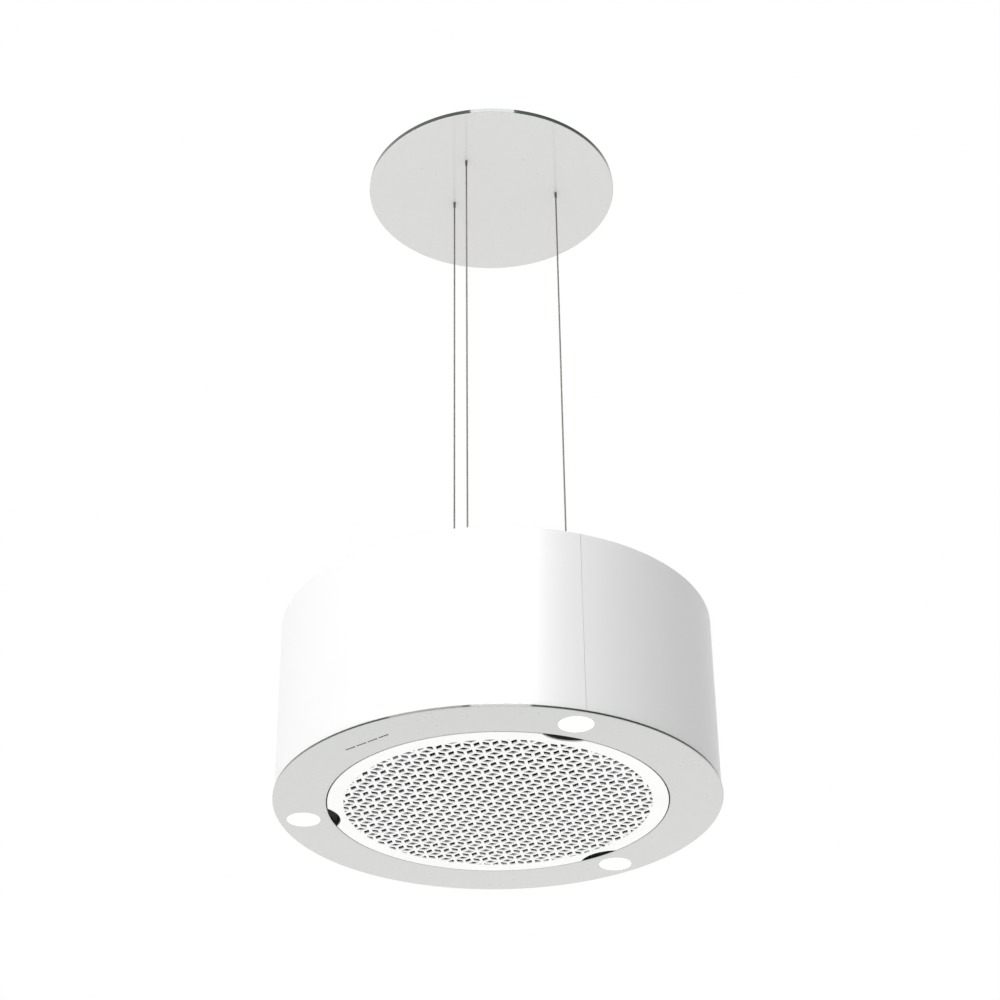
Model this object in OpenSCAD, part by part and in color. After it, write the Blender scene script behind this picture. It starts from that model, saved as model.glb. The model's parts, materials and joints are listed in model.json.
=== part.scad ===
// Round island range hood that hangs from the ceiling on three steel cables.
// The origin is the centre of the ceiling face, +Z up, so the hood lies below it.
// Heights inside the hood are counted from the lower face of its glass ring.

/* [Suspension] */
// Distance from the ceiling to the underside of the hood
drop = 1060; // [700:10:1600]
// Diameter of the glass plate under the ceiling
canopy_d = 385; // [330:5:460]
// Thickness of the glass plate under the ceiling
canopy_t = 8; // [6:1:10]
// How far the steel ceiling plate stays back from the glass edge
plate_inset = 40; // [25:1:55]
// Thickness of the steel ceiling plate
plate_t = 3; // [2:0.5:5]
// Rubber spacer between the ceiling plate and the glass
spacer_t = 1; // [0.5:0.5:3]
// Pitch circle of the ceiling screws
ceiling_pcd = 220; // [200:5:240]
// Diameter of the ceiling screw holes
ceiling_hole_d = 6.5; // [5:0.5:8]
// Diameter of the suspension cables
cable_d = 2.6; // [1.5:0.1:3]
// Length of cable that hangs free inside the hood
cable_tail = 41; // [38:1:44]

/* [Hood body] */
// Outer diameter of the glass ring
hood_d = 600; // [500:10:800]
// Height of the hood from the ring's underside to the top rim
hood_h = 257; // [253:1:340]
// Width of the glass ring
ring_w = 71; // [66:1:90]
// Thickness of the glass ring
ring_t = 4; // [4:1:8]
// How far the ring stands out past the drum
ring_lip = 2; // [0:0.5:6]
// Wall thickness of the drum panels
drum_t = 1.5; // [1:0.1:3]
// Gap at the seams between drum panels
seam_gap = 0.8; // [0.3:0.1:2]
// Depth of the top cover below the rim
cover_recess = 6; // [3:1:15]
// Sheet thickness of the top cover and the base tray
sheet_t = 1.5; // [1:0.1:2.5]

/* [Lamps] */
// Diameter of a lamp window
lamp_d = 45; // [36:1:48]
// Distance from the ring's outer edge to a lamp centre
lamp_inset = 34.5; // [32:0.5:40]
// Direction of the first lamp and of the first drum seam
lamp_turn = -68.4; // [-180:0.1:180]

/* [Perforated panel] */
// Gap between the panel and the ring
panel_gap = 1.5; // [1:0.5:5]
// Sheet thickness of the panel
panel_t = 1.7; // [1:0.1:2.5]
// Height of the panel with its rim
panel_h = 16; // [14:1:24]
// Blank edge around the perforation
blank_edge = 21.5; // [15:0.5:40]
// Distance between neighbouring stars of diamond holes
star_pitch = 24; // [20:1:40]
// Width of the bars between the diamond holes
bar_w = 4; // [3:0.5:6]
// How deep a finger notch cuts into the panel's edge
notch_depth = 12; // [8:0.5:16]

/* [Filters] */
// Thickness of the grease filter
grease_h = 11; // [8:1:12]
// How far the charcoal cartridge reaches past the blower inlet
charcoal_reach = 29; // [26:1:40]
// Height of the charcoal cartridge
charcoal_h = 25; // [20:1:27]

/* [Blower] */
// Diameter of the impeller
impeller_d = 200; // [170:5:245]
// Height of the impeller's blades
blade_h = 56; // [40:1:60]
// Number of blades
blade_count = 36; // [24:1:48]
// Radius of the motor
motor_r = 46; // [35:1:52]
// Diameter of the motor shaft
shaft_d = 8; // [6:1:10]

/* [Hidden] */

$fn = 96;
sides = 3;
lamp_turns = [for (i = [0 : sides - 1]) lamp_turn + i * 360 / sides];

// Where the cables come down, seen from above
cable_spots = [[-59, 21], [-38.5, -80.5], [101.5, -1]];
cable_r = cable_d / 2;
cable_play = 0.1;

// Ceiling side
canopy_r = canopy_d / 2;
plate_r = canopy_r - plate_inset;
glass_top = -plate_t - spacer_t;
glass_low = glass_top - canopy_t;
wire_hole_r = 25;
ceiling_holes = 4;
ceiling_hole_turn = 15;
sleeve_r = cable_r + 0.6;
sleeve_l = 10;
end_stop_r = cable_r + 0.8;
end_stop_h = 1.4;
stop_top = -0.5;
seat_r = end_stop_r + 0.6;
seat_low = stop_top - end_stop_h - 0.3;
spacer_w = 14;

// Ring and drum
hood_r = hood_d / 2;
bore_r = hood_r - ring_w;
drum_r = hood_r - ring_lip;
drum_in = drum_r - drum_t;
drum_low = ring_t + 0.5;
rim_lip_w = 8;
edge_cut = 0.8;
tape_t = 1;
inner_tape_w = 6;
outer_tape_w = 9;
tray_low = ring_t + tape_t;
tray_top = tray_low + sheet_t;
tray_wall_h = 20;
collar_r = bore_r + 3;
collar_t = 1.5;
collar_flange = 6.5;
strip_w = 30;
strip_t = 1.2;

// Lamps
lamp_r = lamp_d / 2;
lamp_path = hood_r - lamp_inset;
lamp_play = 0.2;
lens_flange = 2;
lens_flange_t = 1.5;
housing_low = tray_top;
housing_r = lamp_r + lens_flange;
housing_wall = 2.5;
housing_h = 20;
housing_play = 0.5;
fin_h = 8;
fin_t = 1.2;
fin_pitch = 4.5;
fin_side_count = floor((housing_r - 2) / fin_pitch);
board_t = 1.6;
led_r = 6;
ear_reach = 8;
ear_w = 10;

// Panel and grease filter
panel_r = bore_r - panel_gap;
perforated_r = panel_r - blank_edge;
rim_t = 1;
diamond_l = star_pitch - bar_w / sin(30);
diamond_w = star_pitch * tan(30) - bar_w / cos(30);
// Place of one star of the perforation
star_shift = [8.5, 2.5];
notch_r = lamp_path - panel_r + notch_depth;
cup_t = 1.5;
magnet_gap = 0.3;
magnet_w = 15;
magnet_h = 6;
magnet_angle = 6;
filter_play = 0.5;
filter_r = panel_r - notch_depth - rim_t - filter_play;
filter_wall = 1;
filter_flange = 7;
mesh_t = 1.2;
filter_low = panel_t;
filter_top = filter_low + grease_h;
handle_l = 60;
handle_w = 14;
handle_h = 6;
filter_lift = 16;

// Inlet and charcoal cartridge
impeller_r = impeller_d / 2;
blade_in = impeller_r - 16;
eye_r = blade_in - 3;
eye_t = 2;
case_low = filter_top + handle_h + filter_lift + 2;
case_r = eye_r + charcoal_reach;
case_wall = 2;
case_top = case_low + charcoal_h;
core_play = 1;
neck_reach = 7;
lug_t = 2;
lug_angle = 30;
flange_low = case_top + 2;
flange_t = 3;
deck_low = flange_low + flange_t;
deck_top = deck_low + 2;
lock_r = case_r - case_wall - 3;
bayonet_neck_r = lock_r - 8;
vent_hole_r = 6;
vent_step = 18;
vent_rings = floor((case_r - vent_hole_r - 4) / vent_step);

// Blower
blade_t = 0.8;
blade_sweep = 9;
scroll_gap = 10;
scroll_growth = 36;
scroll_t = 1.5;
scroll_turn = 90;
shroud_t = 1.5;
back_t = 2;
scroll_floor = deck_top + scroll_t;
shroud_low = scroll_floor + 10;
blade_low = shroud_low + shroud_t;
back_low = blade_low + blade_h;
hub_r = 14;
hub_h = 12;
scroll_high = back_low + back_t + 8;
lid_t = 2;
lid_top = scroll_high + lid_t;
outlet_l = 40;
elbow_bend = 4;
shaft_r = shaft_d / 2;
shaft_play = 0.05;
shaft_hole_r = hub_r + 3;
mount_h = 8;
mount_r = 7;
mount_path = motor_r + 16;
motor_turns = [100, 220, 340];
motor_low = lid_top + mount_h;
motor_h = 46;
motor_cap_r = motor_r * 0.65;
motor_cap_h = 6;
arm_t = 3;
capacitor_r = 16;
capacitor_h = 58;
capacitor_spot = [44, 76];

// Top and hanging
cover_top = hood_h - cover_recess;
cover_low = cover_top - sheet_t;
hanger_t = 3;
hanger_low = cover_low - hanger_t;
hub_plate_r = 128;
arm_w = 30;
post_r = 6;
post_foot_r = 11;
post_foot_t = 2;
post_pad_r = 16;
post_path = lamp_path - 3.5;
post_turns = [for (a = lamp_turns) a + 90 / sides];
cover_rim_h = 12;
cover_rim_gap = 0.3;
// Each row of air slots: inner radius, outer radius, number of slots
slot_rows = [[hub_plate_r + 8, post_path - 66, 36], [post_path - 56, post_path - 16, 60]];
air_slot_w = 6;
stem_r = 5;
stem_play = 0.2;
stem_low = hanger_low - 11;
nut_h = 6;
nut_r = 9.8;
gripper_r = 7;
gripper_flange_r = 10;
gripper_flange_h = 3;
gripper_h = 24;
plunger_r = 3;
plunger_play = 0.05;
plunger_head_r = 4.2;
plunger_head_h = 3.4;
plunger_travel = 2.5;
plunger_depth = 10;
tail_low = stem_low - cable_tail;
gland_spot = [20, 68];
gland_r = 8;
gland_bore_r = 3.5;
gland_hole_r = 12;
screw_r = 2;
screw_head_r = 4;
screw_head_h = 2.4;
screw_l = 14;

// Electrics
board_turn = lamp_turn - 180 / sides;
driver_turn = lamp_turn + 180 / sides;
touch_size = [22, 90];
touch_play = 2;
mark_groups = 4;
marks_per_group = 4;
mark_l = 3.2;
mark_w = 2.4;
mark_dot_r = 1.7;
mark_t = 0.1;
mark_pitch = 4;
mark_shift = -3;
group_pitch = 18.4;
mark_path = hood_r - 40;
box_size = [42, 80, 40];
box_wall = 2;
driver_size = [34, 92, 26];
box_path = bore_r + 40;
loom_r = 2;
loom_h = tray_top + 36;
loom_bend = 5;
lead_r = 1.4;

function along(turn) = [cos(turn), sin(turn)];

module in_hood() { translate([0, 0, -drop]) children(); }

module at_turn(turn, path = 0) { rotate(turn) translate([path, 0, 0]) children(); }

module tube(r_out, r_in, low, high) {
    translate([0, 0, low]) linear_extrude(high - low) difference() {
        circle(r = r_out);
        circle(r = r_in);
    }
}

module disc(r, low, high) { translate([0, 0, low]) cylinder(r = r, h = high - low); }

module arc_block(r_in, r_out, low, high, angle) {
    rotate(-angle / 2) rotate_extrude(angle = angle, $fn = 180)
        translate([r_in, low]) square([r_out - r_in, high - low]);
}

module block(size, low, high) {
    translate([0, 0, (low + high) / 2]) cube([size[0], size[1], high - low], center = true);
}

// Ceiling side

module ceiling_plate() color("silver") difference() {
    disc(plate_r, -plate_t, 0);
    disc(wire_hole_r, -plate_t - 1, 1);
    for (i = [0 : ceiling_holes - 1])
        at_turn(ceiling_hole_turn + i * 360 / ceiling_holes, ceiling_pcd / 2)
            disc(ceiling_hole_d / 2, -plate_t - 1, 1);
    for (s = cable_spots) translate(s) {
        disc(sleeve_r, -plate_t - 1, 1);
        disc(seat_r, seat_low, 1);
    }
}

module canopy_spacer() color("dimgray") tube(plate_r - 4, plate_r - 4 - spacer_w, glass_top, -plate_t);

module canopy_glass() color("gainsboro") difference() {
    rotate_extrude($fn = 180) polygon([
        [0, glass_low], [canopy_r - edge_cut, glass_low], [canopy_r, glass_low + edge_cut],
        [canopy_r, glass_top - edge_cut], [canopy_r - edge_cut, glass_top], [0, glass_top]
    ]);
    for (s = cable_spots) translate(s) disc(sleeve_r, glass_low - 1, glass_top + 1);
}

module cable_sleeves() color("dimgray") for (s = cable_spots) translate(s) rotate_extrude($fn = 48)
    polygon([
        [cable_r, glass_low - sleeve_l], [sleeve_r - 0.3, glass_low - sleeve_l],
        [sleeve_r, glass_low - sleeve_l + 1], [sleeve_r, seat_low], [seat_r, seat_low],
        [seat_r, stop_top], [end_stop_r, stop_top], [end_stop_r, stop_top - end_stop_h],
        [cable_r, stop_top - end_stop_h]
    ]);

module cable(spot) color("gray") translate(spot) {
    translate([0, 0, tail_low - drop])
        cylinder(r = cable_r, h = drop - tail_low + stop_top - end_stop_h, $fn = 32);
    translate([0, 0, stop_top - end_stop_h]) cylinder(r = end_stop_r, h = end_stop_h, $fn = 32);
}

// Hanging hardware on the hood

module gripper(spot) color("silver") in_hood() translate(spot) difference() {
    union() {
        disc(stem_r, stem_low, cover_top);
        disc(gripper_flange_r, cover_top, cover_top + gripper_flange_h);
        rotate_extrude($fn = 64) polygon([
            [0, cover_top + gripper_flange_h], [gripper_r, cover_top + gripper_flange_h],
            [gripper_r, cover_top + gripper_h - 1], [gripper_r - 1, cover_top + gripper_h],
            [0, cover_top + gripper_h]
        ]);
    }
    disc(cable_r + cable_play, stem_low - 1, cover_top + gripper_h + 1);
    disc(plunger_r + plunger_play, cover_top + gripper_h - plunger_depth, cover_top + gripper_h + 1);
}

module gripper_plunger(spot) color("brown") in_hood() translate(spot) difference() {
    union() {
        disc(plunger_r, cover_top + gripper_h - plunger_depth + plunger_travel + 0.1,
             cover_top + gripper_h + plunger_travel + 0.2);
        disc(plunger_head_r, cover_top + gripper_h + plunger_travel + 0.1,
             cover_top + gripper_h + plunger_travel + plunger_head_h);
    }
    disc(cable_r + cable_play, cover_top, cover_top + gripper_h + 20);
}

module gripper_nuts() color("silver") in_hood() for (s = cable_spots) translate(s) difference() {
    translate([0, 0, hanger_low - nut_h]) cylinder(r = nut_r, h = nut_h, $fn = 6);
    disc(stem_r, hanger_low - nut_h - 1, hanger_low + 1);
}

// Drum and ring

module drum_panel(turn) color("white") in_hood() rotate(turn) {
    seam_angle = seam_gap / drum_r * 180 / PI;
    rotate(seam_angle / 2) rotate_extrude(angle = 360 / sides - seam_angle, $fn = 180) polygon([
        [drum_in, drum_low], [drum_r, drum_low], [drum_r, hood_h - 1], [drum_r - 1, hood_h],
        [drum_r - rim_lip_w, hood_h], [drum_r - rim_lip_w, hood_h - drum_t], [drum_in, hood_h - drum_t]
    ]);
}

module seam_strips() color("gray") in_hood() for (a = lamp_turns) rotate(a)
    arc_block(drum_in - strip_t, drum_in, tray_low + tray_wall_h + 2, cover_top - cover_rim_h - 2,
              strip_w / drum_r * 180 / PI);

module glass_ring() color("lightgray") in_hood() difference() {
    rotate_extrude($fn = 180) polygon([
        [bore_r + edge_cut, 0], [hood_r - edge_cut, 0], [hood_r, edge_cut], [hood_r, ring_t - edge_cut],
        [hood_r - edge_cut, ring_t], [bore_r, ring_t], [bore_r, edge_cut]
    ]);
    for (a = lamp_turns) at_turn(a, lamp_path) disc(lamp_r + lamp_play, -1, ring_t + 1);
}

module bonding_tape() color("dimgray") in_hood() difference() {
    union() {
        tube(collar_r + 1 + inner_tape_w, collar_r + 1, ring_t, tray_low);
        tube(drum_in - 1, drum_in - 1 - outer_tape_w, ring_t, tray_low);
    }
    for (a = lamp_turns) at_turn(a, lamp_path) disc(housing_r + housing_play, ring_t - 1, tray_low + 1);
}

module base_tray() color("silver") in_hood() difference() {
    union() {
        tube(drum_in, collar_r, tray_low, tray_top);
        tube(drum_in, drum_in - sheet_t, tray_low, tray_low + tray_wall_h);
    }
    for (a = lamp_turns) at_turn(a, lamp_path) disc(housing_r + housing_play, tray_low - 1, tray_top + 1);
    at_turn(board_turn, mark_path)
        block([touch_size[0] + touch_play, touch_size[1] + touch_play], tray_low - 1, tray_top + 1);
}

module control_marks() color("dimgray") in_hood() at_turn(board_turn, mark_path)
    for (g = [0 : mark_groups - 1], m = [0 : marks_per_group - 1])
        translate([0, mark_shift + (g - (mark_groups - 1) / 2) * group_pitch
                      + (m - (marks_per_group - 1) / 2) * mark_pitch, 0])
            if (m < marks_per_group - 1) block([mark_w, mark_l], -mark_t, 0);
            else disc(mark_dot_r, -mark_t, 0);

// Lamps

module lamp_lens(turn) color("white") in_hood() at_turn(turn, lamp_path) {
    disc(lamp_r, 0, ring_t);
    disc(housing_r, ring_t, ring_t + lens_flange_t);
}

module lamp_gaskets() color("dimgray") in_hood() for (a = lamp_turns) at_turn(a, lamp_path)
    tube(housing_r, housing_r - housing_wall, ring_t + lens_flange_t, housing_low);

module lamp_housing(turn) color("silver") in_hood() at_turn(turn, lamp_path) difference() {
    union() {
        disc(housing_r, housing_low, housing_low + housing_h);
        block([ear_w, 2 * (housing_r + ear_reach)], housing_low, housing_low + 2);
        for (i = [-fin_side_count : fin_side_count])
            translate([i * fin_pitch, 0, 0])
                block([fin_t, 2 * sqrt(pow(housing_r - 1, 2) - pow(i * fin_pitch, 2))],
                      housing_low + housing_h, housing_low + housing_h + fin_h);
    }
    disc(housing_r - housing_wall, housing_low - 1, housing_low + housing_h - housing_wall);
    for (side = [-1, 1]) translate([0, side * (housing_r + ear_reach / 2), 0])
        disc(screw_r, housing_low - 1, housing_low + 3);
}

module led_boards() color("white") in_hood() for (a = lamp_turns) at_turn(a, lamp_path) {
    board_high = housing_low + housing_h - housing_wall;
    disc(housing_r - housing_wall - 1, board_high - board_t, board_high);
    disc(led_r, board_high - 2 * board_t, board_high - board_t);
}

// Chassis and cover

module chassis_posts() color("silver") in_hood() for (a = post_turns) at_turn(a, post_path) difference() {
    union() {
        disc(post_r, tray_top, hanger_low);
        disc(post_foot_r, tray_top, tray_top + post_foot_t);
    }
    disc(screw_r, hanger_low - screw_l, hanger_low + 1);
}

module hanger_plate() color("silver") in_hood() translate([0, 0, hanger_low]) linear_extrude(hanger_t)
    difference() {
        union() {
            circle(r = hub_plate_r);
            for (a = post_turns) rotate(a) translate([0, -arm_w / 2]) square([post_path, arm_w]);
            for (a = post_turns) rotate(a) translate([post_path, 0]) circle(r = post_pad_r);
        }
        for (s = cable_spots) translate(s) circle(r = stem_r + stem_play);
        for (a = post_turns) rotate(a) translate([post_path, 0]) circle(r = screw_r + stem_play);
        translate(gland_spot) circle(r = gland_hole_r);
    }

module top_cover() color("white") in_hood() difference() {
    union() {
        translate([0, 0, cover_low]) linear_extrude(sheet_t) difference() {
            circle(r = drum_in - cover_rim_gap);
            for (row = slot_rows, i = [0 : row[2] - 1]) rotate((i + 0.5) * 360 / row[2])
                translate([row[0], -air_slot_w / 2]) square([row[1] - row[0], air_slot_w]);
            for (s = cable_spots) translate(s) circle(r = stem_r + stem_play);
            for (a = post_turns) rotate(a) translate([post_path, 0]) circle(r = screw_r + stem_play);
            translate(gland_spot) circle(r = gland_r - 2);
        }
        tube(drum_in - cover_rim_gap, drum_in - cover_rim_gap - sheet_t, cover_top - cover_rim_h, cover_low);
    }
}

module cover_screws() color("silver") in_hood() for (a = post_turns) at_turn(a, post_path) {
    disc(screw_r, cover_top - screw_l, cover_top);
    disc(screw_head_r, cover_top, cover_top + screw_head_h);
}

module cord_gland() color("dimgray") in_hood() translate(gland_spot) difference() {
    union() {
        disc(gland_r, cover_top, cover_top + 4);
        disc(gland_r - 2.5, cover_low - 8, cover_top + 12);
        disc(gland_r, cover_low - 3, cover_low);
    }
    disc(gland_bore_r, cover_low - 9, cover_top + 13);
}

// Perforated panel

module panel_outline(inset) difference() {
    circle(r = panel_r - inset, $fn = 180);
    for (a = lamp_turns) rotate(a) translate([lamp_path, 0]) circle(r = notch_r + inset);
}

module diamond(turn) rotate(turn)
    polygon([[-diamond_l / 2, 0], [0, -diamond_w / 2], [diamond_l / 2, 0], [0, diamond_w / 2]]);

// Diamonds lie along the three directions of a triangular grid, six round each star
module diamonds(whole) {
    reach = ceil(perforated_r / (star_pitch * cos(30))) + 1;
    for (i = [-reach : reach], j = [-reach : reach], k = [0 : 2]) {
        turn = lamp_turn + 60 * k;
        spot = star_shift + star_pitch * (i * along(lamp_turn) + j * along(lamp_turn + 60) + along(turn) / 2);
        far = norm(spot) + diamond_l / 2;
        near = norm(spot) - diamond_l / 2;
        if (whole ? far <= perforated_r : far > perforated_r && near < perforated_r)
            translate(spot) diamond(turn);
    }
}

module perforated_panel() color("white") in_hood() {
    linear_extrude(panel_t) difference() {
        panel_outline(0);
        diamonds(true);
        intersection() {
            circle(r = perforated_r, $fn = 180);
            diamonds(false);
        }
    }
    translate([0, 0, panel_t]) linear_extrude(panel_h - panel_t) difference() {
        panel_outline(0);
        panel_outline(rim_t);
    }
}

module crescent(inset) intersection() {
    circle(r = panel_r, $fn = 180);
    translate([lamp_path, 0]) circle(r = notch_r - inset);
}

module finger_cups() color("dimgray") in_hood() for (a = lamp_turns) rotate(a) {
    translate([0, 0, panel_h - cup_t]) linear_extrude(cup_t) crescent(0);
    translate([0, 0, panel_t]) linear_extrude(panel_h - cup_t - panel_t) difference() {
        crescent(0);
        crescent(1);
    }
}

module catch_magnets() color("dimgray") in_hood() for (a = lamp_turns) rotate(a + 180 / sides)
    arc_block(collar_r - magnet_w, collar_r, panel_h + magnet_gap, panel_h + magnet_gap + magnet_h,
              magnet_angle);

// Grease filter

module filter_frame() color("silver") in_hood() rotate_extrude($fn = 180) polygon([
    [filter_r - filter_flange, filter_low], [filter_r, filter_low], [filter_r, filter_top],
    [filter_r - filter_flange, filter_top], [filter_r - filter_flange, filter_top - filter_wall],
    [filter_r - filter_wall, filter_top - filter_wall], [filter_r - filter_wall, filter_low + filter_wall],
    [filter_r - filter_flange, filter_low + filter_wall]
]);

// Two sheets of expanded mesh with an air gap between them
module filter_mesh() color("gray") in_hood() {
    disc(filter_r - filter_wall, filter_low + filter_wall, filter_low + filter_wall + mesh_t);
    disc(filter_r - filter_wall, filter_top - filter_wall - mesh_t, filter_top - filter_wall);
}

module filter_handle() color("silver") in_hood() translate([0, handle_w / 2, filter_top - filter_wall])
    rotate([90, 0, 0]) linear_extrude(handle_w) difference() {
        polygon([
            [-handle_l / 2, 0], [handle_l / 2, 0], [handle_l / 2 - 10, handle_h], [-handle_l / 2 + 10, handle_h]
        ]);
        polygon([
            [-handle_l / 2 + 6, -1], [handle_l / 2 - 6, -1], [handle_l / 2 - 12, handle_h - 1.5],
            [-handle_l / 2 + 12, handle_h - 1.5]
        ]);
    }

// Inlet

module suction_collar() color("silver") in_hood() {
    tube(collar_r + collar_t, collar_r, tray_top, deck_low);
    tube(collar_r + collar_flange, collar_r + collar_t, tray_top, tray_top + collar_t);
    tube(collar_r + collar_flange, collar_r + collar_t, deck_low - collar_t, deck_low);
}

module blower_deck() color("silver") in_hood() tube(collar_r + collar_flange, eye_r + 0.3, deck_low, deck_top);

module inlet_ring() color("gray") in_hood() {
    rotate_extrude($fn = 120) polygon([
        [eye_r - eye_t, flange_low], [bayonet_neck_r - 2, flange_low],
        [bayonet_neck_r - 2, flange_low - neck_reach], [bayonet_neck_r, flange_low - neck_reach],
        [bayonet_neck_r, flange_low], [lock_r, flange_low], [lock_r, deck_low],
        [eye_r, deck_low], [eye_r, shroud_low + shroud_t + 1], [eye_r - eye_t, shroud_low + shroud_t + 1]
    ]);
    for (a = lamp_turns) rotate(a)
        arc_block(bayonet_neck_r - 1, lock_r - 0.5, flange_low - neck_reach, flange_low - neck_reach + lug_t,
                  lug_angle);
}

module charcoal_case() color("dimgray") in_hood() {
    tube(case_r, case_r - case_wall, case_low + case_wall, case_top);
    translate([0, 0, case_low]) linear_extrude(case_wall) difference() {
        circle(r = case_r);
        for (ring = [1 : vent_rings], i = [0 : 6 * ring - 1])
            rotate(i * 60 / ring) translate([ring * vent_step, 0]) circle(r = vent_hole_r, $fn = 24);
    }
    lug_low = flange_low - neck_reach + lug_t + 0.3;
    for (a = lamp_turns) rotate(a)
        arc_block(bayonet_neck_r + 0.6, case_r - 1, lug_low, lug_low + lug_t, lug_angle - 4);
}

module charcoal_core() color("black") in_hood()
    disc(case_r - case_wall, case_low + case_wall, flange_low - neck_reach - core_play);

// Blower

function spiral(extra, steps = 72) = [
    for (i = [0 : steps]) (impeller_r + scroll_gap + scroll_growth * i / steps + extra) * along(i * 360 / steps)
];
cutoff_x = impeller_r + scroll_gap;
outlet_x = cutoff_x + scroll_growth;

module scroll_outline(extra) {
    polygon(spiral(extra));
    translate([cutoff_x - extra, 0]) square([scroll_growth + 2 * extra, outlet_l]);
}

module scroll_housing() color("lightgray") in_hood() rotate(scroll_turn) {
    translate([0, 0, deck_top]) linear_extrude(scroll_t) difference() {
        scroll_outline(scroll_t);
        circle(r = eye_r + 0.3);
    }
    translate([0, 0, scroll_floor]) linear_extrude(scroll_high - scroll_floor) difference() {
        scroll_outline(scroll_t);
        scroll_outline(0);
        translate([cutoff_x, outlet_l / 2]) square([scroll_growth, outlet_l]);
    }
}

module scroll_lid() color("silver") in_hood() rotate(scroll_turn) translate([0, 0, scroll_high])
    linear_extrude(lid_t) difference() {
        scroll_outline(scroll_t);
        circle(r = shaft_hole_r);
    }

module outlet_elbow() color("gray") in_hood() rotate(scroll_turn)
    translate([cutoff_x - scroll_t, outlet_l, lid_top + elbow_bend]) rotate([0, 90, 0])
        rotate_extrude(angle = 90, $fn = 96) translate([elbow_bend, 0]) difference() {
            square([lid_top - deck_top, scroll_growth + 2 * scroll_t]);
            translate([scroll_t, scroll_t]) square([lid_top - deck_top - 2 * scroll_t, scroll_growth]);
        }

function blade_point(part, side) = (blade_in + 1 + (impeller_r - blade_in - 2) * part)
    * along(blade_sweep * part * part + side / blade_in * 180 / PI);

module impeller() color("silver") in_hood() {
    tube(impeller_r, blade_in, shroud_low, blade_low);
    difference() {
        disc(impeller_r, back_low, back_low + back_t);
        disc(shaft_r, back_low - 1, back_low + back_t + 1);
    }
    tube(hub_r, shaft_r, back_low + back_t, back_low + back_t + hub_h / 2);
    tube(hub_r, shaft_r, back_low - hub_h, back_low);
    for (i = [0 : blade_count - 1]) rotate(i * 360 / blade_count)
        translate([0, 0, blade_low]) linear_extrude(blade_h) polygon(concat(
            [for (k = [0 : 4]) blade_point(k / 4, 0)], [for (k = [4 : -1 : 0]) blade_point(k / 4, blade_t)]
        ));
}

module motor_shaft() color("gray") in_hood() disc(shaft_r, back_low - hub_h, lid_top + mount_h + motor_h / 2);

module motor() color("dimgray") in_hood() difference() {
    union() {
        disc(motor_r, motor_low, motor_low + motor_h);
        disc(motor_cap_r, motor_low + motor_h, motor_low + motor_h + motor_cap_h);
        for (a = motor_turns) rotate(a) {
            translate([motor_r / 2, -mount_r, motor_low]) cube([mount_path - motor_r / 2, 2 * mount_r, arm_t]);
            translate([mount_path, 0, 0]) disc(mount_r, motor_low, motor_low + arm_t);
        }
    }
    disc(shaft_r + shaft_play, motor_low - 1, motor_low + motor_h / 2 + 1);
}

module motor_mounts() color("black") in_hood() for (a = motor_turns)
    at_turn(a, mount_path) disc(mount_r, lid_top, motor_low);

module capacitor() color("white") in_hood() translate(capacitor_spot) {
    disc(capacitor_r, lid_top, lid_top + capacitor_h);
    disc(capacitor_r - 5, lid_top + capacitor_h, lid_top + capacitor_h + 3);
}

// Electrics

module control_box() color("white") in_hood() at_turn(board_turn, box_path) difference() {
    block(box_size, tray_top, tray_top + box_size[2]);
    block([box_size[0] - 2 * box_wall, box_size[1] - 2 * box_wall], tray_top + box_wall, tray_top + 99);
}

module control_lid() color("white") in_hood() at_turn(board_turn, box_path)
    block(box_size, tray_top + box_size[2], tray_top + box_size[2] + box_wall);

module control_board() color("green") in_hood() at_turn(board_turn, box_path) {
    low = tray_top + box_wall + 6;
    block([box_size[0] - 2 * box_wall, box_size[1] - 2 * box_wall], low, low + board_t);
    translate([6, 14, 0]) block([16, 18], low + board_t, low + board_t + 14);
    translate([-6, -16, 0]) block([12, 24], low + board_t, low + board_t + 9);
}

module touch_board() color("green") in_hood() at_turn(board_turn, mark_path)
    block(touch_size, ring_t, ring_t + board_t);

module led_driver() color("white") in_hood() at_turn(driver_turn, box_path) {
    block(driver_size, tray_top, tray_top + driver_size[2]);
    for (side = [-1, 1]) translate([0, side * (driver_size[1] / 2 + 3), 0])
        block([ear_w, 6], tray_top, tray_top + 2);
}

module wiring_loom() color("black") in_hood() {
    path = collar_r + collar_t + loom_r;
    driver_top = tray_top + driver_size[2];
    rotate_extrude($fn = 120) translate([path, loom_h]) circle(r = loom_r, $fn = 24);
    for (a = lamp_turns) rotate(a) branch(path, lamp_path, housing_low + housing_h + fin_h);
    rotate(driver_turn) branch(path, box_path - 8, driver_top);
    rotate(board_turn) lead([path, 0, loom_h], 90, box_path - box_size[0] / 2 - path);
}

// A lead that leaves the loom outwards and turns down to its connector
module branch(path, end, low) {
    lead([path, 0, loom_h], 90, end - loom_bend - path);
    translate([end - loom_bend, 0, loom_h - loom_bend]) rotate([90, 0, 0])
        rotate_extrude(angle = 90, $fn = 96) translate([loom_bend, 0]) circle(r = lead_r, $fn = 24);
    lead([end, 0, low], 0, loom_h - loom_bend - low);
}

module lead(start, tilt, length)
    translate(start) rotate([0, tilt, 0]) cylinder(r = lead_r, h = length, $fn = 24);

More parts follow.
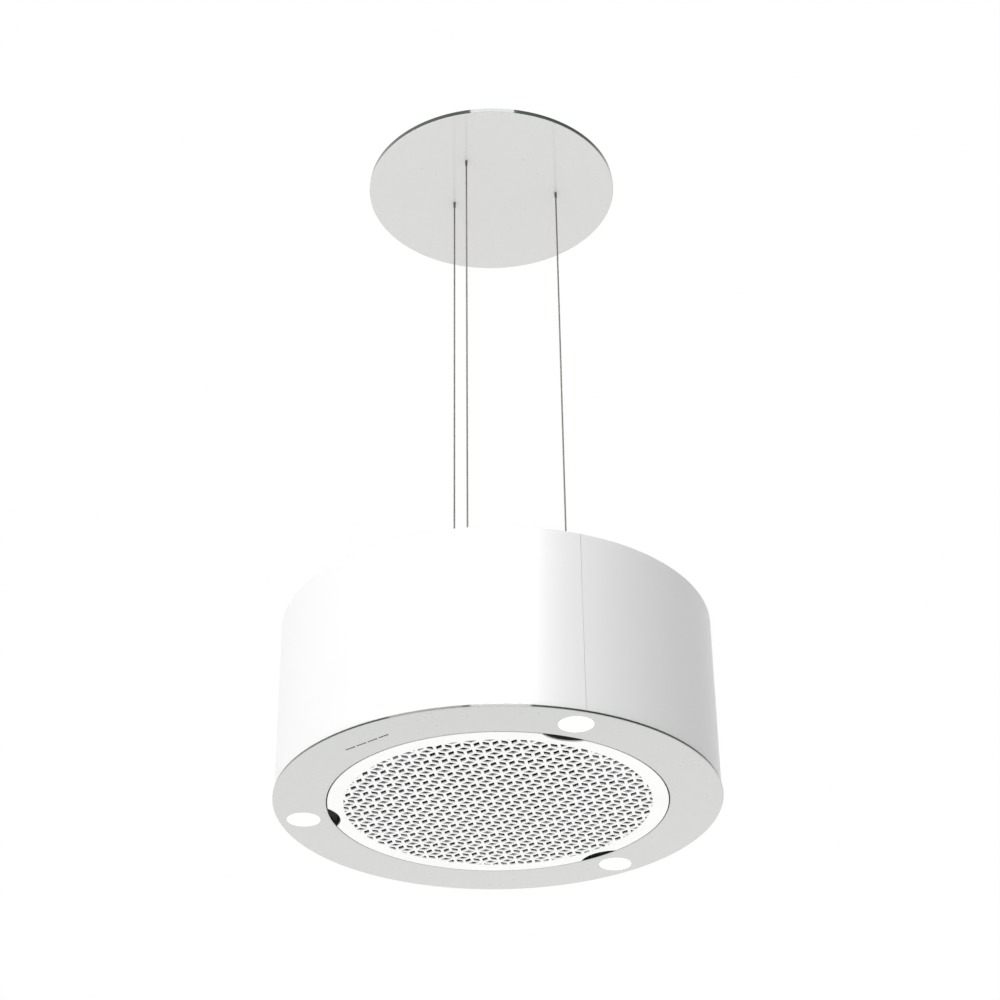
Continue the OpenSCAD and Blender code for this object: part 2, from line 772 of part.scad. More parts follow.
ceiling_plate();
canopy_spacer();
canopy_glass();
cable_sleeves();
cable(cable_spots[0]);  // cable_1
cable(cable_spots[1]);  // cable_2
cable(cable_spots[2]);  // cable_3
gripper(cable_spots[0]);  // gripper_1
gripper(cable_spots[1]);  // gripper_2
gripper(cable_spots[2]);  // gripper_3
gripper_nuts();
gripper_plunger(cable_spots[0]);  // gripper_plunger_1
gripper_plunger(cable_spots[1]);  // gripper_plunger_2
gripper_plunger(cable_spots[2]);  // gripper_plunger_3
drum_panel(lamp_turns[0]);  // drum_panel_1
drum_panel(lamp_turns[1]);  // drum_panel_2
drum_panel(lamp_turns[2]);  // drum_panel_3
seam_strips();
glass_ring();
bonding_tape();
base_tray();
control_marks();
lamp_lens(lamp_turns[0]);  // lamp_lens_1
lamp_lens(lamp_turns[1]);  // lamp_lens_2
lamp_lens(lamp_turns[2]);  // lamp_lens_3
lamp_gaskets();
lamp_housing(lamp_turns[0]);  // lamp_housing_1
lamp_housing(lamp_turns[1]);  // lamp_housing_2
lamp_housing(lamp_turns[2]);  // lamp_housing_3
led_boards();
chassis_posts();
hanger_plate();
top_cover();
cover_screws();
cord_gland();
perforated_panel();
finger_cups();
catch_magnets();
filter_frame();
filter_mesh();
filter_handle();
suction_collar();
blower_deck();
inlet_ring();
charcoal_case();
charcoal_core();
scroll_housing();
scroll_lid();
outlet_elbow();
impeller();
motor_shaft();
motor();
motor_mounts();
capacitor();
control_box();
control_lid();
control_board();
touch_board();
led_driver();
wiring_loom();
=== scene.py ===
import json
import math

import bpy
from mathutils import Matrix, Vector


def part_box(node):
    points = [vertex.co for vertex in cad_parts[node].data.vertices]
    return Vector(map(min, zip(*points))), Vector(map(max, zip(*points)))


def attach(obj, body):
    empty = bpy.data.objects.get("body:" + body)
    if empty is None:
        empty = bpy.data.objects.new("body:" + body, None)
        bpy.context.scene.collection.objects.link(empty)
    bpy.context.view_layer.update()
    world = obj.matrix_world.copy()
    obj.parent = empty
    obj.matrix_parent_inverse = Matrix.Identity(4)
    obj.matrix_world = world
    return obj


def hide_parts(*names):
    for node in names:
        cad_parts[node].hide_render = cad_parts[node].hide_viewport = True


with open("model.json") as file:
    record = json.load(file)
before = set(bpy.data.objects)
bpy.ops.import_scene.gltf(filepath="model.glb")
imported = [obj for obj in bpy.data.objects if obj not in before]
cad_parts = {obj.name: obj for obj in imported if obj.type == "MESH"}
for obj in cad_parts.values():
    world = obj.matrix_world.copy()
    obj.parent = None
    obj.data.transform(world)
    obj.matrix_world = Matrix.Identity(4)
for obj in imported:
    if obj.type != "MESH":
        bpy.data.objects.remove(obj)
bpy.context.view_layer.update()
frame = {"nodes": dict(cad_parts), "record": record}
nodes = frame["nodes"]
print("frame loaded:", len(nodes), "nodes")


# camera first, because the views and the light follow from it

cameraSetup = {
    "place": (0.0, -2.705, -2.2426),
    "pitch": 31.558,  # upwards, in degrees
    "yaw": 0.16,  # to the right
    "roll": -0.703,
    "lens": 78.9,
    "sensorWidth": 36.0,
    "reach": 60.0,  # how far it sees, in metres
}


def addCamera(setup):
    data = bpy.data.cameras.new("camera")
    data.lens = setup["lens"]
    data.sensor_width = setup["sensorWidth"]
    data.clip_end = setup["reach"]
    camera = bpy.data.objects.new("camera", data)
    bpy.context.scene.collection.objects.link(camera)
    pitch, yaw, roll = (math.radians(setup[k]) for k in ("pitch", "yaw", "roll"))
    forward = Vector((
        math.sin(yaw) * math.cos(pitch),
        math.cos(yaw) * math.cos(pitch),
        math.sin(pitch),
    ))
    level = forward.cross(Vector((0, 0, 1))).normalized()
    upright = level.cross(forward)
    right = level * math.cos(roll) + upright * math.sin(roll)
    up = upright * math.cos(roll) - level * math.sin(roll)
    turn = Matrix((right, up, -forward)).transposed()
    camera.matrix_world = Matrix.Translation(setup["place"]) @ turn.to_4x4()
    bpy.context.scene.camera = camera


addCamera(cameraSetup)
print("camera placed")


# small helpers for node trees

def startMaterial(name):
    material = bpy.data.materials.new(name)
    material.use_nodes = True
    tree = material.node_tree
    return material, tree, tree.nodes["Principled BSDF"]


def coords(tree, stretch=(1, 1, 1), turn=0.0):
    source = tree.nodes.new("ShaderNodeTexCoord")
    mapping = tree.nodes.new("ShaderNodeMapping")
    mapping.vector_type = "POINT"
    mapping.inputs["Scale"].default_value = stretch
    mapping.inputs["Rotation"].default_value = (0, 0, turn)
    tree.links.new(source.outputs["Object"], mapping.inputs["Vector"])
    return mapping.outputs["Vector"]


def noise(tree, vector, scale, detail=3.0, roughness=0.5):
    node = tree.nodes.new("ShaderNodeTexNoise")
    node.inputs["Scale"].default_value = scale
    node.inputs["Detail"].default_value = detail
    node.inputs["Roughness"].default_value = roughness
    tree.links.new(vector, node.inputs["Vector"])
    return node.outputs["Fac"]


def cells(tree, vector, scale, output="Distance"):
    node = tree.nodes.new("ShaderNodeTexVoronoi")
    node.inputs["Scale"].default_value = scale
    tree.links.new(vector, node.inputs["Vector"])
    return node.outputs[output]


def ramp(tree, value, low, high, start=0.3, end=0.7):
    node = tree.nodes.new("ShaderNodeValToRGB")
    node.color_ramp.elements[0].position = start
    node.color_ramp.elements[1].position = end
    node.color_ramp.elements[0].color = (*low, 1)
    node.color_ramp.elements[1].color = (*high, 1)
    tree.links.new(value, node.inputs["Fac"])
    return node.outputs["Color"]


def spread(tree, value, low, high, start=0.3, end=0.7):
    node = tree.nodes.new("ShaderNodeMapRange")
    node.inputs["From Min"].default_value = start
    node.inputs["From Max"].default_value = end
    node.inputs["To Min"].default_value = low
    node.inputs["To Max"].default_value = high
    tree.links.new(value, node.inputs["Value"])
    return node.outputs["Result"]


def relief(tree, height, depth, below=None):
    node = tree.nodes.new("ShaderNodeBump")
    node.inputs["Strength"].default_value = 1.0
    node.inputs["Distance"].default_value = depth
    tree.links.new(height, node.inputs["Height"])
    if below is not None:
        tree.links.new(below, node.inputs["Normal"])
    return node.outputs["Normal"]


def calc(tree, operation, first, second):
    node = tree.nodes.new("ShaderNodeMath")
    node.operation = operation
    for slot, value in zip(node.inputs, (first, second)):
        if isinstance(value, (int, float)):
            slot.default_value = value
        else:
            tree.links.new(value, slot)
    return node.outputs["Value"]


def blendColours(tree, factor, low, high):
    node = tree.nodes.new("ShaderNodeMix")
    node.data_type = "RGBA"
    tree.links.new(factor, node.inputs["Factor"])
    for slot, value in ((node.inputs["A"], low), (node.inputs["B"], high)):
        if isinstance(value, tuple):
            slot.default_value = (*value, 1)
        else:
            tree.links.new(value, slot)
    return node.outputs["Result"]


def dress(tree, shader, colour=None, roughness=None, metallic=None, normal=None):
    wanted = {"Base Color": colour, "Roughness": roughness, "Metallic": metallic, "Normal": normal}
    for name, value in wanted.items():
        if value is None:
            continue
        if isinstance(value, tuple):
            shader.inputs[name].default_value = (*value, 1)
        elif isinstance(value, (int, float)):
            shader.inputs[name].default_value = value
        else:
            tree.links.new(value, shader.inputs[name])


def shade(colour, by):
    return tuple(min(1.0, c * by) for c in colour)


# finishes

def glossPaint(name, colour):
    material, tree, shader = startMaterial(name)
    at = coords(tree)
    tone = ramp(tree, noise(tree, at, scale=3.0, detail=2), shade(colour, by=0.975), colour)
    gloss = spread(tree, noise(tree, at, scale=60, detail=4), low=0.34, high=0.42)
    peel = relief(tree, noise(tree, at, scale=420, detail=2), depth=0.00003)
    dust = relief(tree, noise(tree, at, scale=3000, detail=2), depth=0.000008, below=peel)
    dress(tree, shader, colour=tone, roughness=gloss, metallic=0.0, normal=dust)
    shader.inputs["Coat Weight"].default_value = 0.5
    shader.inputs["Coat Roughness"].default_value = 0.34
    return material


def powderCoat(name, colour, grain=1400, depth=0.00006, low=0.42, high=0.52):
    material, tree, shader = startMaterial(name)
    at = coords(tree)
    tone = ramp(tree, noise(tree, at, scale=9, detail=3), shade(colour, by=0.965), colour)
    rough = spread(tree, noise(tree, at, scale=80, detail=4), low, high)
    fine = relief(tree, noise(tree, at, scale=grain, detail=2), depth)
    dress(tree, shader, colour=tone, roughness=rough, metallic=0.0, normal=fine)
    return material


def satinGlass(name, colour, edges):
    material, tree, shader = startMaterial(name)
    at = coords(tree)
    face = ramp(tree, noise(tree, at, scale=5, detail=3), shade(colour, by=0.985), colour)
    flat = tree.nodes.new("ShaderNodeVectorMath")
    flat.operation = "MULTIPLY"
    flat.inputs[1].default_value = (1, 1, 0)
    tree.links.new(at, flat.inputs[0])
    length = tree.nodes.new("ShaderNodeVectorMath")
    length.operation = "LENGTH"
    tree.links.new(flat.outputs["Vector"], length.inputs[0])
    radius = length.outputs["Value"]
    rim = calc(tree, "GREATER_THAN", radius, edges["outer"])
    if edges.get("inner"):
        rim = calc(tree, "MAXIMUM", rim, calc(tree, "LESS_THAN", radius, edges["inner"]))
    along = coords(tree, stretch=(1, 1, 30))
    streak = ramp(tree, noise(tree, along, scale=14, detail=3), (0.002, 0.009, 0.007), (0.008, 0.03, 0.024))
    satin = spread(tree, noise(tree, at, scale=90, detail=5), low=0.27, high=0.34)
    polish = calc(tree, "MULTIPLY", rim, 0.2)  # the cut edge is smoother than the faces
    dress(
        tree, shader,
        colour=blendColours(tree, rim, face, streak),
        roughness=calc(tree, "SUBTRACT", satin, polish),
        metallic=0.0,
        normal=relief(tree, noise(tree, at, scale=45, detail=2), depth=0.000005),
    )
    shader.inputs["Coat Weight"].default_value = 1.0
    shader.inputs["Coat Roughness"].default_value = 0.05
    return material


def zincSteel(name):
    material, tree, shader = startMaterial(name)
    at = coords(tree)
    flake = cells(tree, at, scale=95, output="Color")
    grey = tree.nodes.new("ShaderNodeSeparateColor")
    tree.links.new(flake, grey.inputs["Color"])
    flakes = calc(tree, "MULTIPLY", grey.outputs["Red"], 0.7)
    grain = calc(tree, "MULTIPLY", noise(tree, at, scale=260, detail=4), 0.3)
    spangle = calc(tree, "ADD", flakes, grain)
    tone = ramp(tree, spangle, (0.48, 0.5, 0.515), (0.63, 0.65, 0.665), start=0.15, end=0.85)
    rough = spread(tree, spangle, low=0.3, high=0.5, start=0.1, end=0.9)
    bump = relief(tree, spangle, depth=0.00002)
    dress(tree, shader, colour=tone, roughness=rough, metallic=0.9, normal=bump)
    return material


def brushedMetal(name, colour, stretch=(1, 1, 40), scale=60, low=0.24, high=0.4, metallic=1.0):
    material, tree, shader = startMaterial(name)
    lines = noise(tree, coords(tree, stretch), scale, detail=5, roughness=0.65)
    smudge = noise(tree, coords(tree), scale=22, detail=3)
    blend = calc(tree, "ADD", calc(tree, "MULTIPLY", lines, 0.6), calc(tree, "MULTIPLY", smudge, 0.4))
    tone = ramp(tree, blend, shade(colour, by=0.8), colour)
    rough = spread(tree, lines, low, high)
    bump = relief(tree, lines, depth=0.00002)
    dress(tree, shader, colour=tone, roughness=rough, metallic=metallic, normal=bump)
    return material


def castMetal(name, colour):
    material, tree, shader = startMaterial(name)
    at = coords(tree)
    skin = noise(tree, at, scale=900, detail=4, roughness=0.6)
    tone = ramp(tree, noise(tree, at, scale=70, detail=5), shade(colour, by=0.75), colour)
    rough = spread(tree, skin, low=0.42, high=0.6)
    bump = relief(tree, skin, depth=0.00012)
    dress(tree, shader, colour=tone, roughness=rough, metallic=0.9, normal=bump)
    return material


def mouldedPlastic(name, colour, low=0.4, high=0.52):
    material, tree, shader = startMaterial(name)
    at = coords(tree)
    tone = ramp(tree, noise(tree, at, scale=30, detail=3), shade(colour, by=0.88), colour)
    rough = spread(tree, noise(tree, at, scale=120, detail=3), low, high)
    bump = relief(tree, cells(tree, at, scale=1900), depth=0.00005)
    dress(tree, shader, colour=tone, roughness=rough, metallic=0.0, normal=bump)
    return material


def rubber(name, colour):
    material, tree, shader = startMaterial(name)
    at = coords(tree)
    bloom = noise(tree, at, scale=45, detail=5, roughness=0.6)
    tone = ramp(tree, bloom, colour, shade(colour, by=1.7))
    rough = spread(tree, bloom, low=0.62, high=0.82)
    bump = relief(tree, noise(tree, at, scale=1200, detail=3), depth=0.00008)
    dress(tree, shader, colour=tone, roughness=rough, metallic=0.0, normal=bump)
    return material


def circuitBoard(name):
    material, tree, shader = startMaterial(name)
    at = coords(tree, turn=math.radians(38))
    tracks = tree.nodes.new("ShaderNodeTexBrick")
    tracks.inputs["Scale"].default_value = 130
    tracks.inputs["Mortar Size"].default_value = 0.012
    tracks.inputs["Color1"].default_value = (0.01, 0.12, 0.05, 1)
    tracks.inputs["Color2"].default_value = (0.012, 0.1, 0.045, 1)
    tracks.inputs["Mortar"].default_value = (0.03, 0.3, 0.13, 1)
    tree.links.new(at, tracks.inputs["Vector"])
    rough = spread(tree, noise(tree, at, scale=90, detail=2), low=0.3, high=0.42)
    bump = relief(tree, tracks.outputs["Fac"], depth=0.00003)
    dress(tree, shader, colour=tracks.outputs["Color"], roughness=rough, metallic=0.0, normal=bump)
    return material


def lampDiffuser(name):
    material, tree, shader = startMaterial(name)
    at = coords(tree)
    cloud = noise(tree, at, scale=260, detail=3)
    tone = ramp(tree, cloud, (0.9, 0.9, 0.88), (0.96, 0.96, 0.94))
    rough = spread(tree, cloud, low=0.35, high=0.5)
    bump = relief(tree, cells(tree, at, scale=900), depth=0.00005)
    dress(tree, shader, colour=tone, roughness=rough, metallic=0.0, normal=bump)
    shader.inputs["Emission Color"].default_value = (1.0, 0.98, 0.95, 1)
    shader.inputs["Emission Strength"].default_value = 0.3
    return material


def granules(name):
    material, tree, shader = startMaterial(name)
    at = coords(tree)
    grain = cells(tree, at, scale=420)
    tone = ramp(tree, grain, (0.03, 0.03, 0.032), (0.006, 0.006, 0.007), start=0.1, end=0.6)
    rough = spread(tree, noise(tree, at, scale=500, detail=3), low=0.45, high=0.75)
    bump = relief(tree, grain, depth=0.0012)
    dress(tree, shader, colour=tone, roughness=rough, metallic=0.0, normal=bump)
    return material


def printedInk(name):
    material, tree, shader = startMaterial(name)
    at = coords(tree)
    dots = noise(tree, at, scale=2600, detail=3)
    tone = ramp(tree, dots, (0.008, 0.008, 0.008), (0.02, 0.02, 0.02))
    rough = spread(tree, dots, low=0.4, high=0.55)
    bump = relief(tree, dots, depth=0.00001)
    dress(tree, shader, colour=tone, roughness=rough, metallic=0.0, normal=bump)
    return material


def foamTape(name):
    material, tree, shader = startMaterial(name)
    at = coords(tree)
    pores = cells(tree, at, scale=1100)
    tone = ramp(tree, pores, (0.05, 0.05, 0.052), (0.02, 0.02, 0.021), start=0.1, end=0.7)
    bump = relief(tree, pores, depth=0.0002)
    dress(tree, shader, colour=tone, roughness=0.85, metallic=0.0, normal=bump)
    return material


glassGrey = (0.45, 0.45, 0.444)
finishes = {
    "zinc_steel": zincSteel("zincSteel"),
    "black_rubber": rubber("blackRubber", (0.018, 0.018, 0.019)),
    "dark_nickel": brushedMetal("darkNickel", (0.16, 0.155, 0.15), low=0.28, high=0.42),
    "cable_steel": brushedMetal(
        "cableSteel", (0.22, 0.205, 0.19), stretch=(1, 1, 1), scale=900, low=0.32, high=0.5, metallic=0.6
    ),
    "nickel": brushedMetal("nickel", (0.62, 0.61, 0.58), stretch=(1, 1, 60), scale=40, low=0.2, high=0.32),
    "plunger_brass": brushedMetal(
        "plungerBrass", (0.5, 0.36, 0.15), stretch=(1, 1, 60), scale=40, low=0.22, high=0.36
    ),
    "gloss_white": glossPaint("glossWhite", (0.87, 0.873, 0.875)),
    "powder_white": powderCoat("powderWhite", (0.81, 0.81, 0.81)),
    "tape": foamTape("bondingTape"),
    "mark_ink": printedInk("markInk"),
    "lamp_diffuser": lampDiffuser("lampDiffuser"),
    "cast_alu": castMetal("castAluminium", (0.6, 0.6, 0.6)),
    "circuit_board": circuitBoard("circuitBoard"),
    "dark_plastic": mouldedPlastic("darkPlastic", (0.03, 0.03, 0.032)),
    "magnet": castMetal("sinteredMagnet", (0.16, 0.16, 0.165)),
    # the filter's frame and handle get a dark grey as painted shade of the hood's inside; the real
    # aluminium is bright
    "filter_alu": brushedMetal(
        "filterAluminiumShadeGrey", (0.3, 0.3, 0.305), stretch=(1, 1, 8), scale=160, low=0.34, high=0.5
    ),
    "charcoal": granules("charcoalGranules"),
    "grey_plastic": mouldedPlastic("greyPlastic", (0.23, 0.235, 0.24)),
    "shaft_steel": brushedMetal(
        "shaftSteel", (0.56, 0.56, 0.55), stretch=(1, 1, 80), scale=50, low=0.14, high=0.26
    ),
    "can_white": mouldedPlastic("canWhite", (0.78, 0.78, 0.76), low=0.3, high=0.4),
    "box_white": powderCoat("boxWhite", (0.7, 0.71, 0.71), grain=900, depth=0.0001),
    "wire_black": mouldedPlastic("wireBlack", (0.02, 0.02, 0.021), low=0.35, high=0.5),
}
# the expanded mesh gets a near-black colour as painted shade: the real mesh is bright aluminium, dark only
# in the shade inside the hood
paintedShadeMesh = brushedMetal(
    "paintedShadeMesh", (0.035, 0.035, 0.037), stretch=(1, 1, 8), scale=160, low=0.34, high=0.5
)
# the cut edge of a glass begins at these radii
ringEdges = {"outer": 0.29985, "inner": 0.22915}
canopyEdges = {"outer": 0.19235}
ringGlass = satinGlass("ringGlass", glassGrey, ringEdges)
# the canopy is the same satin glass as the ring; its 1.3 times lighter grey is painted light
canopyGlassLightened = satinGlass("canopyGlassLightened", shade(glassGrey, by=1.3), canopyEdges)
print("finishes made:", len(finishes) + len((paintedShadeMesh, ringGlass, canopyGlassLightened)))


# dressing the frame's own nodes

def giveFinish(obj, material):
    obj.data.materials.clear()
    obj.data.materials.append(material)


slotOf = {part["node"]: part["material_slot"] for part in frame["record"]["subparts"]}
ownFinish = {"glass_ring": ringGlass, "canopy_glass": canopyGlassLightened}
for name, obj in nodes.items():
    giveFinish(obj, ownFinish.get(name) or finishes[slotOf[name]])
print("nodes dressed")


# modelling helpers

def deselect():
    if bpy.context.object and bpy.context.object.mode != "OBJECT":
        bpy.ops.object.mode_set(mode="OBJECT")
    bpy.ops.object.select_all(action="DESELECT")


def pickFaces(obj, test):
    bpy.ops.object.mode_set(mode="OBJECT")
    for part in (obj.data.vertices, obj.data.edges):
        for item in part:
            item.select = False
    for face in obj.data.polygons:
        face.select = test(face.center, face.normal)
    bpy.ops.object.mode_set(mode="EDIT")
    bpy.ops.mesh.select_mode(type="FACE")


def pickPoints(obj, test):
    bpy.ops.object.mode_set(mode="OBJECT")
    for part in (obj.data.polygons, obj.data.edges):
        for item in part:
            item.select = False
    for point in obj.data.vertices:
        point.select = test(point.co)
    bpy.ops.object.mode_set(mode="EDIT")
    bpy.ops.mesh.select_mode(type="VERT")


def settle(obj, angle=35):
    deselect()
    obj.select_set(True)
    bpy.context.view_layer.objects.active = obj
    bpy.ops.object.transform_apply(location=True, rotation=True, scale=True)
    bpy.ops.object.shade_smooth_by_angle(angle=math.radians(angle))


def applyModifier(obj, kind, **values):
    modifier = obj.modifiers.new(kind.title(), kind)
    for key, value in values.items():
        setattr(modifier, key, value)
    bpy.context.view_layer.objects.active = obj
    bpy.ops.object.modifier_apply(modifier=modifier.name)


def middle(node):
    low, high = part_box(node)
    return (low + high) / 2


# wire ropes, six strands laid round a core, in the place of the three plain cables

ropeSizes = {
    "width": 0.0026,
    "lay": 0.016,  # height of one turn of the strands
    "steps": 10,  # in one turn
    "sides": 24,
    # angle within one strand's share of the circle, and how far out the rope reaches there
    "hollows": ((15, 0.929), (30, 0.577), (45, 0.929)),
    "strandAngle": 60,
    "stopSides": 32,
    "stopHeight": 0.0014,
    "crown": 0.0003,
    "crownSteps": 3,
}


def wireRope(node, sizes):
    low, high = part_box(node)
    x, y = middle(node).x, middle(node).y
    radius = sizes["width"] / 2
    length = high.z - sizes["stopHeight"] / 2 - low.z
    turns = round(length / sizes["lay"])
    deselect()
    bpy.ops.mesh.primitive_circle_add(vertices=sizes["sides"], radius=radius)
    rope = bpy.context.object
    rope.name = "wire_rope_" + node[-1]
    strand = sizes["strandAngle"]
    for phase, size in sizes["hollows"]:
        pickPoints(rope, lambda p: round(math.degrees(math.atan2(p.y, p.x))) % strand == phase)
        bpy.ops.transform.resize(value=(size, size, 1), center_override=(0, 0, 0))
    bpy.ops.object.mode_set(mode="OBJECT")
    applyModifier(rope, "SCREW", axis="Z", angle=math.tau, screw_offset=length / turns, iterations=turns,
                  steps=sizes["steps"], render_steps=sizes["steps"])
    bpy.ops.object.mode_set(mode="EDIT")
    bpy.ops.mesh.select_all(action="DESELECT")
    bpy.ops.mesh.select_non_manifold()
    bpy.ops.mesh.edge_face_add()
    bpy.ops.object.mode_set(mode="OBJECT")
    rope.location = (x, y, low.z)
    settle(rope, angle=60)
    bpy.ops.object.mode_set(mode="EDIT")
    bpy.ops.mesh.select_all(action="SELECT")
    bpy.ops.mesh.normals_make_consistent(inside=False)
    bpy.ops.object.mode_set(mode="OBJECT")
    deselect()
    bpy.ops.mesh.primitive_cylinder_add(
        vertices=sizes["stopSides"],
        radius=(high.x - low.x) / 2,
        depth=sizes["stopHeight"],
        location=(x, y, high.z - sizes["stopHeight"] / 2),
    )
    stop = bpy.context.object
    applyModifier(stop, "BEVEL", width=sizes["crown"], segments=sizes["crownSteps"], limit_method="ANGLE")
    settle(stop)
    deselect()
    stop.select_set(True)
    rope.select_set(True)
    bpy.context.view_layer.objects.active = rope
    bpy.ops.object.join()
    giveFinish(rope, finishes["cable_steel"])
    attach(rope, "ceiling_mount")
    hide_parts(node)


for node in ("cable_1", "cable_2", "cable_3"):
    wireRope(node, ropeSizes)
print("wire ropes laid")


# expanded mesh of the grease filter, in two crossed sheets

meshSizes = {
    "cellLength": 0.0125,
    "cellWidth": 0.0062,
    "strand": 0.0011,
    "sheet": 0.0012,
    "spare": 1.1,  # how much wider than the filter the grid is before it is cut round
    "turns": (22, 112),
}


def expandedSheet(name, low, high, radius, turn, sizes):
    count = int(2 * sizes["spare"] * radius / (sizes["cellWidth"] / math.sqrt(2)) / 2) + 2
    deselect()
    bpy.ops.mesh.primitive_grid_add(x_subdivisions=count, y_subdivisions=count, size=count)
    sheet = bpy.context.object
    sheet.name = name
    sheet.rotation_euler = (0, 0, math.radians(45))
    bpy.ops.object.transform_apply(location=False, rotation=True, scale=True)
    sheet.scale = (sizes["cellLength"] / math.sqrt(2), sizes["cellWidth"] / math.sqrt(2), 1)
    bpy.ops.object.transform_apply(location=False, rotation=False, scale=True)
    sheet.rotation_euler = (0, 0, math.radians(turn))
    sheet.location = (0, 0, (low + high) / 2)
    bpy.ops.object.transform_apply(location=True, rotation=True, scale=True)
    pickPoints(sheet, lambda p: math.hypot(p.x, p.y) > radius - sizes["strand"])
    bpy.ops.mesh.delete(type="VERT")
    bpy.ops.object.mode_set(mode="OBJECT")
    applyModifier(
        sheet, "WIREFRAME",
        thickness=min(sizes["strand"], high - low),
        use_even_offset=False,
        use_replace=True,
        use_boundary=True,
    )
    return sheet


def filterMesh(sizes):
    low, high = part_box("filter_mesh")
    radius = (high.x - low.x) / 2
    thick = sizes["sheet"]
    turnLow, turnHigh = sizes["turns"]
    sheets = [
        expandedSheet("expanded_mesh_low", low.z, low.z + thick, radius, turnLow, sizes),
        expandedSheet("expanded_mesh_high", high.z - thick, high.z, radius, turnHigh, sizes),
    ]
    for sheet in sheets:
        settle(sheet, angle=30)
        giveFinish(sheet, paintedShadeMesh)
        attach(sheet, "grease_filter")
    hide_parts("filter_mesh")


filterMesh(meshSizes)
print("filter mesh expanded")


# pan-head screws with a cross recess, in the place of the plain ones in the cover

screwSizes = {
    "sides": 36,
    "headWidth": 0.008,
    "headHeight": 0.0024,
    "dome": 0.0013,
    "domeSteps": 5,
    "shankWidth": 0.004,
    "slotLength": 0.0044,
    "slotWidth": 0.0009,
    "slotDepth": 0.0013,
    # each is driven home at an angle of its own, in degrees
    "firstTurn": 17,
    "nextTurn": 31,
}


def lumps(node, gap=0.02):  # lowest and highest corner of each separate lump of a node
    found = []
    for point in nodes[node].data.vertices:
        for box in found:
            if (point.co - box[2]).xy.length < gap:
                break
        else:
            box = [point.co.copy(), point.co.copy(), point.co.copy()]  # lowest, highest, first met
            found.append(box)
        box[0] = Vector(map(min, box[0], point.co))
        box[1] = Vector(map(max, box[1], point.co))
    return [(box[0], box[1]) for box in found]


def panHeadScrew(low, high, sizes):
    deselect()
    bpy.ops.mesh.primitive_cylinder_add(
        vertices=sizes["sides"],
        radius=sizes["headWidth"] / 2,
        depth=sizes["headHeight"],
        location=(0, 0, high.z - sizes["headHeight"] / 2),
    )
    screw = bpy.context.object
    bpy.ops.object.transform_apply(location=True)
    pickFaces(screw, lambda centre, normal: normal.z > 0.9)
    bpy.ops.mesh.bevel(offset=sizes["dome"], segments=sizes["domeSteps"], affect="EDGES")
    pickFaces(screw, lambda centre, normal: normal.z < -0.9)
    bpy.ops.mesh.inset(thickness=(sizes["headWidth"] - sizes["shankWidth"]) / 2)
    shankEnd = low.z - high.z + sizes["headHeight"]
    bpy.ops.mesh.extrude_region_move(TRANSFORM_OT_translate={"value": (0, 0, shankEnd)})
    bpy.ops.object.mode_set(mode="OBJECT")
    for turn in (0, 90):
        deselect()
        bpy.ops.mesh.primitive_cube_add(
            size=1, location=(0, 0, high.z), rotation=(0, 0, math.radians(turn))
        )
        cutter = bpy.context.object
        cutter.scale = (sizes["slotLength"], sizes["slotWidth"], 2 * sizes["slotDepth"])
        bpy.ops.object.transform_apply(location=True, rotation=True, scale=True)
        applyModifier(screw, "BOOLEAN", operation="DIFFERENCE", object=cutter, solver="EXACT")
        bpy.data.objects.remove(cutter)
    return screw


def coverScrews(node, sizes):
    places = lumps(node)
    first = panHeadScrew(*places[0], sizes)
    screws = [first]
    while len(screws) < len(places):
        screw = first.copy()
        screw.data = first.data.copy()
        bpy.context.scene.collection.objects.link(screw)
        screws.append(screw)
    deselect()
    for index, (low, high) in enumerate(places):
        screws[index].location = ((low.x + high.x) / 2, (low.y + high.y) / 2, 0)
        turn = sizes["firstTurn"] + sizes["nextTurn"] * index
        screws[index].rotation_euler = (0, 0, math.radians(turn))
    for screw in screws:
        screw.select_set(True)
    bpy.context.view_layer.objects.active = first
    bpy.ops.object.transform_apply(location=True, rotation=True, scale=True)
    bpy.ops.object.join()
    first.name = "pan_head_screws"
    settle(first, angle=40)
    giveFinish(first, finishes["nickel"])
    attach(first, "hood")
    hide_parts(node)


coverScrews("cover_screws", screwSizes)
print("cover screws driven")


# stage, light and surroundings

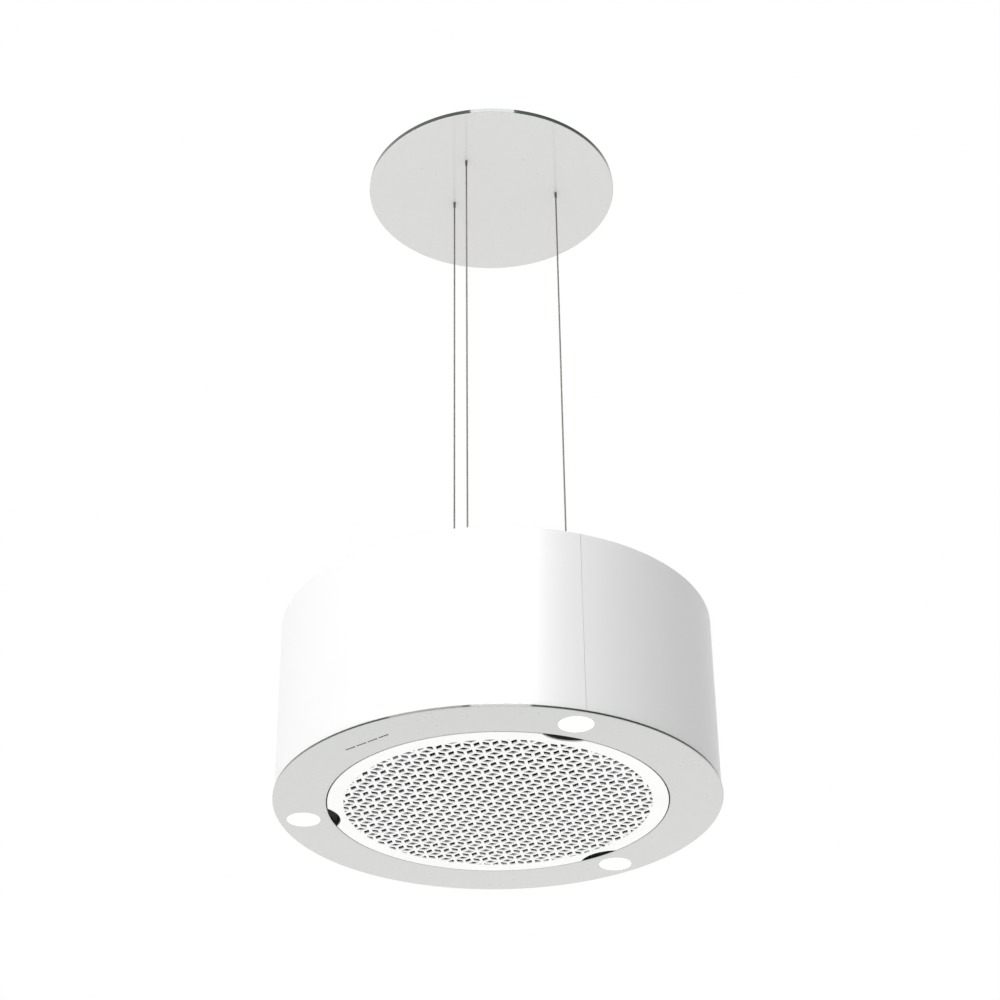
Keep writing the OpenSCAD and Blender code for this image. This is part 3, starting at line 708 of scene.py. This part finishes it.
floorSizes = {
    "height": -4.3,
    "side": 60.0,
    "paint": (0.86, 0.86, 0.855),
    "roughness": 0.6,
    "glow": 0.86,
    "glowColour": (1, 1, 0.99, 1),
}
skyLevels = {"left": 1.0, "right": 0.4, "turnsFrom": 0.25, "turnsTo": 0.85, "onPaint": 0.23}
boxLights = {
    "keyBox": {"place": (-2.12, -3.03, -0.2), "aim": (0, 0, -0.9), "size": (2.4, 2.4), "power": 66},
    "topBox": {"place": (0.3, -0.6, 3.0), "aim": (0, 0, -0.5), "size": (1.6, 1.6), "power": 60},
    # only the polished edges and the gloss pick this one up
    "edgeStrip": {
        "place": (0.1, -3.6, 1.9), "aim": (0, 0, -0.6), "size": (2.2, 3.2), "power": 165, "glossOnly": True
    },
}


def paleFloor(sizes):
    deselect()
    bpy.ops.mesh.primitive_plane_add(size=sizes["side"], location=(0, 0, sizes["height"]))
    floor = bpy.context.object
    floor.name = "floor"
    material, tree, shader = startMaterial("paleFloor")
    dress(tree, shader, colour=sizes["paint"], roughness=sizes["roughness"])
    shader.inputs["Emission Color"].default_value = sizes["glowColour"]
    shader.inputs["Emission Strength"].default_value = sizes["glow"]
    giveFinish(floor, material)


def softBox(name, setup):
    data = bpy.data.lights.new(name, "AREA")
    data.shape = "RECTANGLE"
    data.size, data.size_y = setup["size"]
    data.energy = setup["power"]
    light = bpy.data.objects.new(name, data)
    bpy.context.scene.collection.objects.link(light)
    light.location = setup["place"]
    towards = Vector(setup["aim"]) - Vector(setup["place"])
    light.rotation_euler = towards.to_track_quat("-Z", "Y").to_euler()
    light.visible_camera = False
    light.visible_diffuse = not setup.get("glossOnly", False)


def surroundings(levels):
    world = bpy.data.worlds.new("surroundings")
    bpy.context.scene.world = world
    world.use_nodes = True
    tree = world.node_tree
    source = tree.nodes.new("ShaderNodeTexCoord")
    split = tree.nodes.new("ShaderNodeSeparateXYZ")
    tree.links.new(source.outputs["Generated"], split.inputs["Vector"])
    side = spread(
        tree, split.outputs["X"],
        low=levels["left"], high=levels["right"], start=levels["turnsFrom"], end=levels["turnsTo"],
    )
    rays = tree.nodes.new("ShaderNodeLightPath")
    fill = spread(tree, rays.outputs["Is Diffuse Ray"], low=1.0, high=levels["onPaint"], start=0.0, end=1.0)
    seen = calc(tree, "MAXIMUM", calc(tree, "MULTIPLY", side, fill), rays.outputs["Is Camera Ray"])
    tree.links.new(seen, tree.nodes["Background"].inputs["Strength"])
    tree.nodes["Background"].inputs["Color"].default_value = (1, 1, 1, 1)


paleFloor(floorSizes)
for lightName, lightSetup in boxLights.items():
    softBox(lightName, lightSetup)
surroundings(skyLevels)
bpy.context.scene.view_settings.view_transform = "Standard"
print("stage lit")
